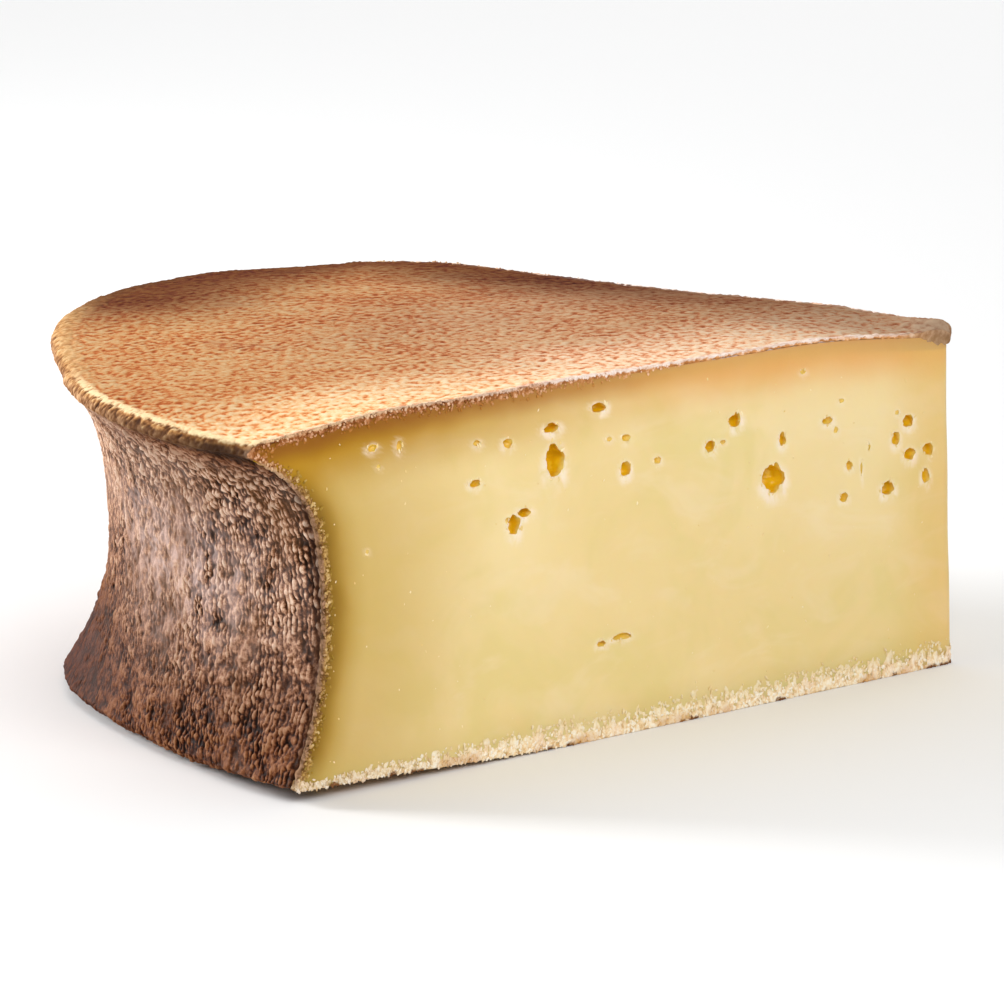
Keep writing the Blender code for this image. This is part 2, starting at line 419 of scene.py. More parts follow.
TOP_COLUMNS = 800
TOP_RING = 0.80
RIM_RING = 0.40
RIM_WIDE = 9.0
TOP_SKIRT = 1.0
INNER_SHARE = 8


def ring_steps(radius, full):
    """Steps of a ring: all of them at the rim, then halved as the rings get shorter."""
    for share, least in ((1, 0.96), (2, 0.5), (4, 0.25), (8, 0.125), (16, 0.03)):
        if radius > least * (LIP_RADIUS - RIM_WIDE + 8.0):
            return full // share
    return full // 80 if radius > TIP_ROUND else 1


def whole_steps(line, step):
    """The line in even steps of about that length, their number a multiple that the inner sheet shares."""
    length = run(line[:, :2])[-1]
    return even_steps(line, INNER_SHARE * round(length / step / INNER_SHARE))


def flat_line(reach, height, samples):
    """Level section from the axis out to a radius, with the half angle that each ring spans."""
    radius, span, turn = cut_line(np.linspace(0.0, cut_at(reach), samples))
    return np.column_stack((radius, height(radius), np.maximum(span - END_GAP / radius, 0.0)))


def top_line():
    """Section of the top rind from the axis to below the lip, with the half angle that each ring spans."""
    near = np.linspace(LIP_RADIUS - RIM_WIDE, LIP_RADIUS - LIP_ROUND, 20)
    near = np.column_stack((near, top_height(near)))
    below = np.linspace(LIP_HEIGHT, LIP_HEIGHT - TOP_SKIRT, 6)[1:]
    below = np.column_stack((heel_radius(below), below))
    edge = np.concatenate((near, rim_line()[1:], below))
    edge = np.column_stack((edge, HALF_CUT - END_GAP / edge[:, 0]))
    flat = flat_line(LIP_RADIUS - RIM_WIDE, top_height, 400)
    return np.concatenate((whole_steps(flat, TOP_RING), whole_steps(edge, RIM_RING)[1:]))


def sweep_between(line, counts):
    """Turns a section line about the axis, each ring between its own two ends."""
    return sweep(line[:, :2], -line[:, 2], line[:, 2], counts)


def build_top_rind(finish):
    line = top_line()
    counts = [ring_steps(radius, TOP_COLUMNS) for radius in line[:, 0]]
    outer = sweep_between(line, counts)
    points = outer.points
    past = outer.path - outer.path[outer.radius >= LIP_RADIUS - LIP_ROUND].min()
    crumbly = ease(past, -1.5, 2.5)
    edge = 1.0 - ease(outer.cut_gap, 0.5, 3.5)

    flat = points * (1.0, 0.6, 0.0)
    worms = bumps(flat, 1.4, 1) + 0.7 * bumps(flat, 0.75, 2)
    waves = bumps(points, 6.0, 3)
    crumble = 0.4 * bumps(points, 3.2, 4) + 0.6 * bumps(points, 1.3, 5)
    crumble += 0.6 * bumps(points, 0.8, 6)
    relief = 0.15 * worms * (1.0 - 0.5 * crumbly) + 0.15 * waves
    relief += (0.34 * crumbly + 0.30 * edge) * crumble
    hollow = hollow_at(outer.angle) * ease(past, 1.5, 4.0)
    relief -= HOLLOW_DEPTH * hollow
    points = points + outer.normals * relief[:, None]
    points[:, 2] += 0.6 * crumble * ease(LIP_HEIGHT - outer.height, 0.2, TOP_SKIRT)
    points = tip_cap(points)

    inner_counts = [min(max(count // 5, 1), TOP_COLUMNS // 20) for count in counts[::INNER_SHARE]]
    inner = sweep_between(line[::INNER_SHARE], inner_counts)
    hidden = tip_cap(inner.points - inner.normals * RIND)
    faces = closed_faces(outer.rows, inner.rows, len(points))
    values = {
        "worms": worms,
        "past": past,
        "hollow": hollow,
        "turned": outer.angle,
        "cut_gap": outer.cut_gap,
        "crumble": crumble,
        "from_front": outer.radius * np.sin(HALF_CUT - outer.angle),
        "from_back": outer.radius * np.sin(HALF_CUT + outer.angle),
        "from_tip": outer.radius,
    }
    add_piece(make_mesh("top_rind", np.concatenate((points, hidden)), faces, values), finish)


# Heel rind

HEEL_COARSE = 12
HEEL_PARTS = (
    ("heel_rind_near", 22.5, 45.0, 0.28, 0.34),
    ("heel_rind_middle", 0.0, 22.5, 0.32, 0.38),
    ("heel_rind_far", -45.0, 0.0, 0.48, 0.60),
)


def cloth_print(outer):
    """Print of the cloth: short strokes in columns, each column at its own height, with creases between.

    Returns how high each point is on its stroke, and a number for the stroke that it is on.
    """
    points = outer.points
    lean = CLOTH_LEAN * CLOTH_LEAN_END * (1.0 - np.exp(-outer.path / CLOTH_LEAN_END))
    sideways = outer.angle * WAIST_RADIUS - lean
    sideways += 1.6 * bumps(points, 14.0, 11) + 0.6 * bumps(points, 3.4, 12)
    sideways += 0.45 * bumps(points, 1.3, 22)
    upwards = outer.path + 1.6 * bumps(points, 14.0, 13) + 0.7 * bumps(points, 3.4, 14)
    upwards += 0.55 * bumps(points, 1.6, 23)
    table = np.random.default_rng(CLOTH_SEED).random((CLOTH_TABLE, CLOTH_TABLE))
    across = sideways / CLOTH_ROUND
    column = np.floor(across).astype(int) % CLOTH_TABLE
    up = upwards / CLOTH_UP + table[0, column]
    tone = table[np.floor(up).astype(int) % CLOTH_TABLE, column]
    stroke = np.abs(np.sin(math.pi * across)) ** 0.8 * (0.35 + 0.65 * np.abs(np.sin(math.pi * up)) ** 0.6)
    return stroke, tone


def build_heel_part(name, low, high, column_step, row_step, finish):
    """A part of the heel's rind between two angles in degrees, with its steps in millimetres."""
    line = heel_line(LIP_HEIGHT - 0.3)
    length = run(line)[-1]
    rows = HEEL_COARSE * round(length / row_step / HEEL_COARSE)
    arc_length = math.radians(high - low) * WAIST_RADIUS
    columns = HEEL_COARSE * round(arc_length / column_step / HEEL_COARSE)
    line = even_steps(line, rows)
    low, high = (
        math.copysign(min(abs(math.radians(end)), HALF_CUT - END_GAP / WAIST_RADIUS), end)
        for end in (low, high)
    )
    ends = np.tile((low, high), (len(line), 1))
    outer = sweep(line, ends[:, 0], ends[:, 1], [columns] * len(line))
    points, path = outer.points, outer.path

    pillow, tone = cloth_print(outer)
    near = ease(outer.angle, math.radians(5.0), math.radians(34.0))
    upper = near * bell(path - 15.0, 13.0)
    patches = 0.6 * bumps(points, 17.0, 16) + bumps(points, 5.0, 20)
    depth = np.clip(0.35 + 0.35 * near + 0.9 * upper + patches, 0.05, 1.6)
    depth *= ease(path, 1.0, 4.0)
    lumps = 0.5 * bumps(points, 5.5, 17) + 0.7 * bumps(points, 2.4, 18)
    grain = 0.8 * bumps(points, 1.3, 19) + 0.5 * bumps(points, 0.75, 21)
    hollow = hollow_at(outer.angle) * (1.0 - ease(path, 2.0, 7.0))
    relief = CLOTH_DEPTH * depth * (pillow * (0.55 + 0.9 * tone) - 0.6)
    relief += (0.25 + 0.40 * near) * lumps + (0.18 + 0.22 * near) * grain - 0.3
    relief -= 1.0 * (1.0 - ease(path, 0.3, 2.6))
    relief -= 0.35 * (1.0 - ease(outer.cut_gap, 0.8, 3.5))
    relief -= 0.7 * HOLLOW_DEPTH * hollow
    relief *= 1.0 - ease(path, length - 6.0, length - 1.0)
    points = points + outer.normals * relief[:, None]
    points[:, 2] = np.maximum(points[:, 2], 0.02)
    # Painted sheen: a paler patch on the heel in place of a soft highlight
    painted_sheen = bell(outer.angle - SHEEN_AT, SHEEN_WIDE) * bell(path - SHEEN_DOWN, SHEEN_TALL)
    painted_sheen *= ease(bumps(outer.points, 4.0, 25) + 0.7 * bumps(outer.points, 1.5, 26), -0.6, 0.8)

    coarse = slice(None, None, HEEL_COARSE)
    inner_columns = [columns // HEEL_COARSE] * len(line[coarse])
    inner = sweep(line[coarse], ends[coarse, 0], ends[coarse, 1], inner_columns)
    hidden = inner.points - inner.normals * 2.0 * RIND
    hidden[:, 2] = np.maximum(hidden[:, 2], 0.3)
    faces = closed_faces(outer.rows, inner.rows, len(points))
    values = {
        "hollow": hollow,
        "painted_sheen": painted_sheen,
        "pillow": pillow,
        "tone": tone,
        "depth": depth,
        "lumps": lumps + 0.5 * grain,
        "cut_gap": outer.cut_gap,
        "down": path,
        "turned": outer.angle,
    }
    add_piece(make_mesh(name, np.concatenate((points, hidden)), faces, values), finish)


# Rind under the base

UNDER_COLUMNS = 120
UNDER_RING = 3.0


def build_under_rind(finish):
    """The underside: nearly flat, with shallow unevenness, never below the ground."""
    line = flat_line(BASE_RADIUS - 1.3 * BASE_ROUND, np.zeros_like, 200)[::-1]
    line = even_steps(line, 2 * round((BASE_RADIUS / UNDER_RING) / 2))
    counts = [ring_steps(radius, UNDER_COLUMNS) if radius > 6.0 else 1 for radius in line[:, 0]]
    outer = sweep_between(line, counts)
    outer.points[:, 2] += 0.1 + 0.1 * np.abs(bumps(outer.points, 4.0, 31))
    hidden = outer.points + np.array((0.0, 0.0, 1.2))
    faces = closed_faces(outer.rows, outer.rows, len(hidden))
    add_piece(make_mesh("under_rind", np.concatenate((outer.points, hidden)), faces, {}), finish)


# Crumbly edge of the rind along each cut

EDGE_STEP = 0.27
FACE_COLUMNS = 14
EDGE_PROUD = 0.18
WRAP = ((0.16, -0.95), (0.12, -0.6), (0.08, -0.25), (0.06, 0.0))


def cut_outline(side):
    """The edge of a cut from the tip's top round the heel to the tip's foot, with its directions."""
    shoulder = cut_at(LIP_RADIUS - LIP_ROUND)
    foot = cut_at(BASE_RADIUS - BASE_ROUND)
    out_along = np.concatenate((np.linspace(0.0, TIP_ARC, 9), np.linspace(TIP_ARC, shoulder, 300)[1:]))
    radius, span, turn = cut_line(out_along)
    top = np.column_stack((radius, top_height(radius), span, turn))
    rest = np.concatenate((rim_line()[1:], heel_line(LIP_HEIGHT)[1:]))
    wide = np.full(len(rest), HALF_CUT)
    rest = np.column_stack((rest, wide, wide))
    back_along = np.concatenate((np.linspace(foot, TIP_ARC, 300), np.linspace(TIP_ARC, 0.0, 9)[1:]))
    radius, span, turn = cut_line(back_along[1:])
    base = np.column_stack((radius, np.zeros_like(radius), span, turn))
    radius, height, span, turn = np.concatenate((top, rest, base)).T
    points = uneven(around(radius, side * span, height))
    stations = np.column_stack((points, turn, radius))
    length = run(points)
    at = np.linspace(0.0, length[-1], round(length[-1] / EDGE_STEP) + 1)
    stations = np.stack([np.interp(at, length, column) for column in stations.T], axis=-1)
    points, turn, radius = stations[:, :3], stations[:, 3], stations[:, 4]
    normal = np.stack((np.cos(turn), -side * np.sin(turn), np.zeros_like(turn)), axis=-1)
    tangent = np.gradient(points, axis=0)
    tangent /= np.linalg.norm(tangent, axis=1)[:, None]
    inward = side * np.cross(normal, tangent)
    return SimpleNamespace(points=points, normal=normal, inward=inward, radius=radius)


def band_width(line):
    """Width of the crumbly band: thin on top, wider at the heel, widest along the base; and which it is."""
    height = line.points[:, 2]
    top = ease(height, LIP_HEIGHT - 10.0, LIP_HEIGHT - 2.0)
    base = 1.0 - ease(height, 0.5, 6.0)
    heel = 1.0 - top - base
    on_top = 0.8 + 1.7 * ease(line.radius, 70.0, 130.0)
    on_top += 1.6 * bell(line.radius, 9.0) + 1.5 * np.maximum(tip_rise(line.points), 0.0)
    on_base = 1.6 + 3.6 * ease(BASE_RADIUS - line.radius, 0.0, 80.0)
    return on_top * top + 2.6 * heel + on_base * base, top, heel, base


def build_cut_edge(name, side, finish):
    """A crumbly strip round the cut. It dips in and out of the paste, so its inner side has no edge."""
    line = cut_outline(side)
    width, top, heel, base = band_width(line)
    width = width * (1.0 + 0.35 * bumps(line.points, 5.0, 41) + 0.30 * bumps(line.points, 1.6, 42))
    hidden = -1.1
    across = [(np.full_like(width, 0.5), hidden)]
    across += [(np.full_like(width, depth), rise) for depth, rise in WRAP]
    shares = np.arange(1, FACE_COLUMNS + 1) / FACE_COLUMNS
    across += [(share * width, EDGE_PROUD * (1.0 - 1.7 * share)) for share in shares]
    across += [(width + 0.3, -0.7), (width + 0.1, hidden)]
    off_tip = ease(line.radius, 3.0, 25.0)
    calm = 0.25 + 0.75 * off_tip + 0.75 * (1.0 - off_tip) * base

    rings, crumbs = [], []
    for column, (depth, rise) in enumerate(across):
        ring = line.points + line.inward * depth[:, None] + line.normal * rise
        shown = 0.0 if column in (0, len(across) - 1) else 1.0
        stretched = ring + line.inward * (base * depth * -0.3)[:, None]
        rough = bumps(stretched, 1.7, 43) + 0.7 * bumps(stretched, 0.8, 44)
        rough += 0.35 * bumps(stretched, 0.45, 46)
        on_face = 1.0 if column > len(WRAP) else 0.8
        grow = (0.24 + 0.14 * heel) * on_face * shown * rough * calm
        sideways = 0.24 * shown * on_face * bumps(stretched, 0.9, 45)
        direction = line.normal if column >= len(WRAP) else -line.inward
        rings.append(ring + direction * grow[:, None] + line.inward * sideways[:, None])
        crumbs.append(rough)
    grid = np.stack(rings, axis=1)
    grid[..., 2] = np.maximum(grid[..., 2], 0.0)
    stations, columns = grid.shape[:2]
    index = np.arange(stations * columns).reshape(stations, columns)
    loops = np.concatenate((index, index[:, :1]), axis=1).tolist()
    faces = sheet_faces(loops) + [index[0].tolist(), index[-1].tolist()]
    values = {
        "crumble": np.stack(crumbs, axis=1).ravel(),
        "depth_in": np.stack([depth for depth, rise in across], axis=1).ravel(),
        "on_top": np.repeat(top, columns),
        "on_base": np.repeat(base, columns),
        "from_tip": np.repeat(line.radius, columns),
    }
    add_piece(make_mesh(name, tip_cap(grid.reshape(-1, 3)), faces, values), finish)


# Loose crumbs and fibres on the cuts

CRUMB_SPREAD = 1.25

# Each cut's side, with the count and seed of its crumbs and of its scattered flecks
SIDES = (("front", 1, (3400, 61), (150, 63)), ("back", -1, (1600, 62), (60, 64)))


def crumb_ball():
    """Corners and faces of the ball that every crumb is shaped from."""
    bm = bmesh.new()
    bmesh.ops.create_icosphere(bm, subdivisions=1, radius=1.0)
    corners = np.array([vertex.co[:] for vertex in bm.verts])
    faces = [[vertex.index for vertex in face.verts] for face in bm.faces]
    bm.free()
    return corners, faces


def leaning(first, second, tilt):
    """Two directions turned together, each crumb's by its own angle."""
    tilt = tilt[:, None]
    return first * np.cos(tilt) + second * np.sin(tilt), second * np.cos(tilt) - first * np.sin(tilt)


def crumb_mesh(name, places, frames, sizes, values, rng):
    """One mesh of many crumbs: each has a place, three directions and a size along each of them."""
    corners, ball_faces = crumb_ball()
    count = len(places)
    shaped = corners[None] * rng.uniform(0.65, 1.25, (count, len(corners), 1)) * sizes[:, None, :]
    points = np.einsum("ick,ikj->icj", shaped, frames) + places[:, None, :]
    points = points.reshape(-1, 3)
    points[:, 2] = np.maximum(points[:, 2], 0.02)
    step = len(corners)
    faces = [[i + k * step for i in face] for k in range(count) for face in ball_faces]
    spread = {label: np.repeat(numbers, step) for label, numbers in values.items()}
    return make_mesh(name, points, faces, spread)


def build_edge_crumbs(name, side, drawn, finish):
    count, seed = drawn
    line = cut_outline(side)
    width, top, heel, base = band_width(line)
    rng = np.random.default_rng(seed)
    share = 0.9 * top * ease(line.radius, 70.0, 130.0) + 1.1 * heel + 1.6 * base
    pick = rng.choice(len(width), count, p=share / share.sum())
    inward, normal = line.inward[pick], line.normal[pick]
    along, aside = leaning(inward, np.cross(normal, inward), rng.normal(0.0, 0.7, count))
    deep = width[pick] * CRUMB_SPREAD * rng.beta(1.2, 2.4, count)
    size = rng.uniform(0.14, 0.40, count)
    long = 1.0 + 1.1 * rng.random(count) * (0.3 * top + heel + base)[pick]
    sizes = np.stack((size * long, size, 0.6 * size), axis=-1)
    proud = (0.25 * size + 0.02)[:, None]
    places = tip_cap(line.points[pick] + inward * deep[:, None] + normal * proud)
    places[:, 2] = np.maximum(places[:, 2], 0.5 * size)
    values = {
        "crumble": rng.uniform(-0.2, 1.1, count),
        "depth_in": deep,
        "on_top": top[pick],
        "on_base": base[pick],
        "from_tip": line.radius[pick],
    }
    frames = np.stack((along, aside, normal), axis=1)
    add_piece(crumb_mesh(name, places, frames, sizes, values, rng), finish)


def build_flecks(name, side, eyes, drawn, finish):
    """Small torn flecks of paste: some scattered over a cut, most of them round its eyes."""
    count, seed = drawn
    rng = np.random.default_rng(seed)
    along = rng.uniform(6.0, 184.0, count)
    height = rng.uniform(5.0, 73.0, count)
    sizes = rng.uniform(0.08, 0.22, count)
    for eye_along, eye_height, width, tall in eyes:
        torn = int(round(1.4 * max(width, tall))) + 1
        turn = rng.uniform(0.0, 2.0 * math.pi, torn)
        off = rng.uniform(1.0, 1.35, torn)
        along = np.concatenate((along, eye_along + 0.5 * width * off * np.cos(turn)))
        height = np.concatenate((height, eye_height + 0.5 * tall * off * np.sin(turn)))
        sizes = np.concatenate((sizes, rng.uniform(0.12, 0.34, torn)))
    count = len(along)
    along, height, sizes = (column[:, None] for column in (along, height, sizes))
    outward, normal = directions(side)
    up = np.array((0.0, 0.0, 1.0))
    upward, aside = leaning(up, outward, rng.normal(0.0, 0.6, count))
    frames = np.stack((upward, aside, np.tile(normal, (count, 1))), axis=1)
    shape = sizes * np.column_stack((rng.uniform(1.0, 2.4, count), np.full(count, 1.0), np.full(count, 0.5)))
    places = outward * along + up * height + normal * 0.15 * sizes
    values = {"crumble": rng.uniform(0.0, 1.0, count)}
    add_piece(crumb_mesh(name, places, frames, shape, values, rng), finish)


# Paste

CUT_STEP = 0.9
PASTE_TURNS = 24
BEHIND_CUT = 0.015
DEEP_INSET = 3.6


def paste_points(across, up, side_share, inset=PASTE_INSET):
    """Points of the paste: across from the tip (0) to the heel (1), up from the base, and round."""
    height = inset + up * (WHEEL_HEIGHT - 2.0 * inset)
    high = np.clip(1.0 - ((height - LIP_HEIGHT) / (WHEEL_HEIGHT - LIP_HEIGHT)) ** 2, 0.0, 1.0)
    lip = LIP_RADIUS - LIP_ROUND * (1.0 - np.sqrt(high))
    reach = np.where(height > LIP_HEIGHT, lip, heel_radius(height))
    low = np.clip((BASE_LIP_HEIGHT - height) / BASE_LIP_HEIGHT, 0.0, 1.0)
    reach = reach - BASE_ROUND * (1.0 - np.sqrt(1.0 - low ** 2)) - inset
    radius, span, turn = cut_line(across * cut_at(reach))
    height = height - up * (WHEEL_HEIGHT - top_height(radius))
    return uneven(around(radius, side_share * span, height))


def paste_mesh():
    """The paste: a fine sheet at each cut, and coarser loops round the rest of it."""
    columns = round(cut_at(LIP_RADIUS) / CUT_STEP) + 1
    rows = round(WHEEL_HEIGHT / CUT_STEP) + 1
    across, up = np.meshgrid(np.linspace(0.0, 1.0, columns), np.linspace(0.0, 1.0, rows))
    across, up = across.ravel(), up.ravel()
    index = np.arange(rows * columns).reshape(rows, columns)
    points = [paste_points(across, up, side) for side in (1.0, -1.0)]
    faces = sheet_faces(index.tolist()) + sheet_faces((index + across.size).tolist())
    rim = np.concatenate((index[0, :], index[1:, -1], index[-1, -2::-1]))
    loops = [rim.tolist()]
    for share in np.linspace(1.0 - BEHIND_CUT, BEHIND_CUT - 1.0, PASTE_TURNS):
        start = sum(len(block) for block in points)
        points.append(paste_points(across[rim], up[rim], share, DEEP_INSET))
        loops.append(list(range(start, start + len(rim))))
    loops.append((rim + across.size).tolist())
    return make_mesh("cheese_paste", np.concatenate(points), faces + sheet_faces(loops), {})


def drawn_eyes():
    """Eyes for the +Y cut, by the solid's own rule, and then the small ones that it leaves out."""
    rng = random.Random(BACK_SEED)
    eyes = []
    while len(eyes) < BACK_EYES:
        width = BACK_SIZES[0] + (BACK_SIZES[1] - BACK_SIZES[0]) * rng.random() ** 3
        tall = width * rng.uniform(0.6, 1.1)
        along = rng.uniform(*BACK_ALONG)
        height = rng.uniform(*BACK_HEIGHTS)
        clear = all(
            math.hypot(along - other[0], height - other[1]) > 0.5 * (width + other[2]) + EYE_GAP
            for other in eyes
        )
        if clear:
            eyes.append((along, height, width, tall))
    small_ranges = ((10.0, 172.0), (38.0, 71.0), (0.9, 1.9), (0.8, 1.6))
    small = [tuple(rng.uniform(*ends) for ends in small_ranges) for _ in range(SMALL_BACK_EYES)]
    return tuple(eyes + small)


def eye_cutter(side, eye, number, finish):
    """A lumpy ball sunk into a cut, with ragged sides."""
    along, height, width, tall = eye
    outward, facing = (Vector(direction) for direction in directions(side))
    up = Vector((0.0, 0.0, 1.0))
    right = up.cross(facing)
    depth = 0.62 * min(max(width, tall), 2.0 * min(width, tall))
    depth *= 0.5 + 0.5 * float(ease(min(width, tall), 1.2, 2.4))
    centre = outward * along - facing * depth * EYE_SINK + up * height
    grow = 0.5 / math.sqrt(1.0 - EYE_SINK ** 2)
    bm = bmesh.new()
    bmesh.ops.create_icosphere(bm, subdivisions=4 if max(width, tall) > 4.5 else 3, radius=1.0)
    for vertex in bm.verts:
        place = vertex.co + Vector((13.7 * number, 5.1 * side, 0.0))
        lump = 1.0 + 0.32 * noise.noise(place * 1.3)
        lump += 0.14 * noise.noise(place * 3.1) + 0.06 * noise.noise(place * 7.0)
        x, y, z = vertex.co * lump
        place = centre + right * x * width * grow - facing * y * depth + up * z * tall * grow
        vertex.co = Vector(AXIS) + place * MM
    name = f"eye_{number:02d}"
    mesh = bpy.data.meshes.new(name)
    bm.to_mesh(mesh)
    bm.free()
    mesh.materials.append(finish)
    mesh.shade_smooth()
    return bpy.data.objects.new(name, mesh)


def apply_modifiers(piece):
    """Turns a piece with its modifiers into a plain mesh."""
    depsgraph = bpy.context.evaluated_depsgraph_get()
    mesh = bpy.data.meshes.new_from_object(piece.evaluated_get(depsgraph))
    old = piece.data
    piece.modifiers.clear()
    piece.data = mesh
    bpy.data.meshes.remove(old)
    return mesh


def open_eyes(body, back_eyes, finish):
    """Cuts the eyes of both cuts out of the paste. Their walls keep their own material."""
    cutters = bpy.data.collections.new("eye_cutters")
    bpy.context.scene.collection.children.link(cutters)
    both = [(1, eye) for eye in FRONT_EYES] + [(-1, eye) for eye in back_eyes]
    for number, (side, eye) in enumerate(both, 1):
        cutters.objects.link(eye_cutter(side, eye, number, finish))
    holes = body.modifiers.new("open_the_eyes", "BOOLEAN")
    holes.operation = "DIFFERENCE"
    holes.solver = "EXACT"
    holes.operand_type = "COLLECTION"
    holes.collection = cutters
    holes.material_mode = "TRANSFER"
    mesh = apply_modifiers(body)
    for cutter in list(cutters.objects):
        bpy.data.objects.remove(cutter)
    bpy.data.collections.remove(cutters)
    return mesh


def build_paste(back_eyes, finish, eye_finish):
    mesh = paste_mesh()
    mesh.materials.append(finish)
    body = bpy.data.objects.new("cheese_paste", mesh)
    bpy.context.scene.collection.objects.link(body)
    mesh = open_eyes(body, back_eyes, eye_finish)
    bpy.data.objects.remove(body)
    mesh.name = "cheese_paste"

    points = np.zeros(len(mesh.vertices) * 3, np.float32)
    mesh.vertices.foreach_get("co", points)
    points = (points.reshape(-1, 3).astype(float) - AXIS) / MM
    radius, angle = polar(points)
    height = points[:, 2]
    cut = np.sign(angle) * HALF_CUT
    heel = uneven(around(heel_radius(height), cut, height))
    ceiling = uneven(around(radius, cut, top_height(radius)))
    add_values(mesh, {
        "heel_gap": polar(heel)[0] - radius,
        "top_gap": ceiling[:, 2] - height,
        "base_gap": height,
        "hole": gap_to_cut(radius, angle),
        "from_tip": radius,
        "smear_and_highlight": eye_smear_and_highlight(radius, height, angle, back_eyes),
    })
    add_piece(mesh)


def eye_smear_and_highlight(radius, height, angle, back_eyes):
    """Share of pale torn smear and painted highlight round a large eye: 1 at its rim, fading out within a
    few millimetres, mostly below it.
    """
    smear_and_highlight = np.zeros_like(radius)
    for side, eyes in ((1.0, FRONT_EYES), (-1.0, back_eyes)):
        here = angle * side > 0.0
        for along, up, width, tall in eyes:
            across = (radius - along) / (0.5 * width)
            upright = (height - up + 0.25 * tall) / (0.5 * tall)
            distance = (np.hypot(across, upright) - 1.0) * 0.25 * (width + tall)
            glow = 1.0 - ease(distance, 0.0, (0.6 + 0.35 * max(width, tall)))
            glow *= min(0.2 + 0.2 * max(width, tall), 1.0)
            smear_and_highlight = np.where(here, np.maximum(smear_and_highlight, glow), smear_and_highlight)
    return smear_and_highlight


# Materials

def srgb(red, green, blue):
    """A colour picked as 0 to 255 display values, as the linear colour that shaders use."""
    picked = np.array((red, green, blue)) / 255.0
    linear = np.where(picked <= 0.04045, picked / 12.92, ((picked + 0.055) / 1.055) ** 2.4)
    return (*linear.tolist(), 1.0)


class Finish:
    """A procedural material, built from short calls. A colour is given by its three display values."""

    def __init__(self, name, **shader):
        self.material = bpy.data.materials.new(name)
        self.material.use_nodes = True
        self.tree = self.material.node_tree
        self.shader = self.tree.nodes["Principled BSDF"]
        for label, value in shader.items():
            self.feed(self.shader.inputs[label.replace("_", " ")], value)
        self.place = self.node("ShaderNodeTexCoord").outputs["Object"]

    def feed(self, socket, value):
        """Gives a socket another node's result, a number or a colour."""
        if isinstance(value, bpy.types.NodeSocket):
            self.tree.links.new(value, socket)
        else:
            socket.default_value = srgb(*value) if socket.type == "RGBA" else value

    def node(self, kind, inputs=None, **settings):
        made = self.tree.nodes.new(kind)
        for label, value in settings.items():
            setattr(made, label, value)
        for label, value in (inputs or {}).items():
            self.feed(made.inputs[label], value)
        return made

    def value(self, name):
        return self.node("ShaderNodeAttribute", attribute_name=name).outputs["Fac"]

    def noise(self, size, detail=3.0, roughness=0.6, distortion=0.0, place=None):
        """Noise with features of about that many millimetres."""
        inputs = {
            "Vector": self.place if place is None else place,
            "Scale": 0.6 / (size * MM),
            "Detail": detail,
            "Roughness": roughness,
            "Distortion": distortion,
        }
        return self.node("ShaderNodeTexNoise", inputs).outputs["Fac"]

    def stretched(self, x, y, z):
        inputs = {"Vector": self.place, "Scale": (x, y, z)}
        return self.node("ShaderNodeMapping", inputs).outputs["Vector"]

    def step(self, value, low, high, first=0.0, last=1.0):
        """A smooth step from first, where the value is at low, to last, where it is at high."""
        inputs = {"Value": value, "From Min": low, "From Max": high, "To Min": first, "To Max": last}
        return self.node("ShaderNodeMapRange", inputs, interpolation_type="SMOOTHSTEP").outputs["Result"]

    def math(self, operation, first, second):
        return self.node("ShaderNodeMath", {0: first, 1: second}, operation=operation).outputs[0]

    def times(self, first, *others):
        for other in others:
            first = self.math("MULTIPLY", first, other)
        return first

    def plus(self, first, second):
        return self.math("ADD", first, second)

    def stray(self, length, pattern, reach, middle=0.0):
        """A length made uneven: it moves by reach millimetres where the pattern is 1 above its middle."""
        if middle:
            pattern = self.plus(pattern, -middle)
        return self.plus(length, self.times(pattern, reach))

    def mix(self, share, first, second, blend="MIX"):
        inputs = {0: share, 6: first, 7: second}
        return self.node("ShaderNodeMix", inputs, data_type="RGBA", blend_type=blend).outputs[2]

    def layers(self, colour, *layers):
        """Colours laid over one another. A layer is its share, its colour and, if not plain, its blend."""
        for share, over, *blend in layers:
            colour = self.mix(share, colour, over, *blend)
        return colour

    def ramp(self, value, *stops):
        """Colours along a value: each stop is a place from 0 to 1 and a colour."""
        made = self.node("ShaderNodeValToRGB", {"Fac": value})
        band = made.color_ramp
        while len(band.elements) < len(stops):
            band.elements.new(0.5)
        for element, (place, *colour) in zip(band.elements, stops):
            element.position = place
            element.color = srgb(*colour)
        return made.outputs["Color"]

    def bump(self, *layers):
        """Bump from (height socket, millimetres) pairs, one on top of the other."""
        normal = None
        for height, depth in layers:
            inputs = {"Height": height, "Distance": depth * MM, "Strength": 1.0}
            if normal is not None:
                inputs["Normal"] = normal
            normal = self.node("ShaderNodeBump", inputs).outputs["Normal"]
        self.feed(self.shader.inputs["Normal"], normal)

    def colour(self, socket):
        self.feed(self.shader.inputs["Base Color"], socket)


